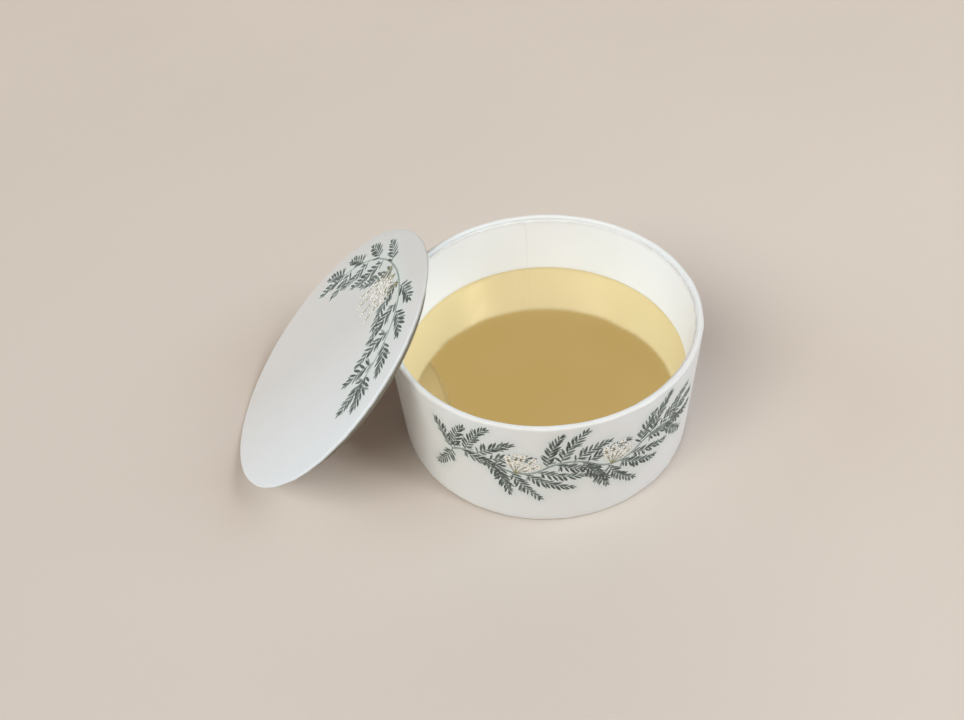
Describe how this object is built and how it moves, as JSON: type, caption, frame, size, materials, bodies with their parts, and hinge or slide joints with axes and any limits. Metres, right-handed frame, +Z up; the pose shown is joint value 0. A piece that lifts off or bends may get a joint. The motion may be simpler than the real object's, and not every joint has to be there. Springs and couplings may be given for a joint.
{
  "type": "round gift box",
  "caption": "Round wrapped-board gift box with a gold tray board at half height, a white card liner and a loose plug lid that leans against its rim.",
  "frame": {"origin": "centre of the box's underside, on the plane that the box and the lid's foot stand on", "axes": "+Z up along the box's own axis; the lid leans against the box on its -X side, 3.5 degrees round towards -Y; -Y is the front, with the seams at the back"},
  "size_m": [0.3182, 0.2066, 0.1274],
  "materials": {
    "greyboard": "matte",
    "pearl_paper": "satin",
    "white_paper": "matte",
    "white_card": "satin",
    "gold_film": "gloss"
  },
  "bodies": {
    "box": {"underside_paper": "white_paper", "outer_wrap": "pearl_paper", "wall_board": "greyboard", "base_board": "greyboard", "support_ring": "greyboard", "tray_board": "greyboard", "gold_foil": "gold_film", "liner_ring": "white_card"},
    "lid": {"lid_board": "greyboard", "lid_wrap": "pearl_paper", "plug_board": "greyboard", "plug_wrap": "white_paper"}
  },
  "joints": [
    {"name": "lid_lift", "type": "slide", "parent": "box", "child": "lid", "axis": [0, 0, 1], "range_m": [0, 0.125]}
  ]
}
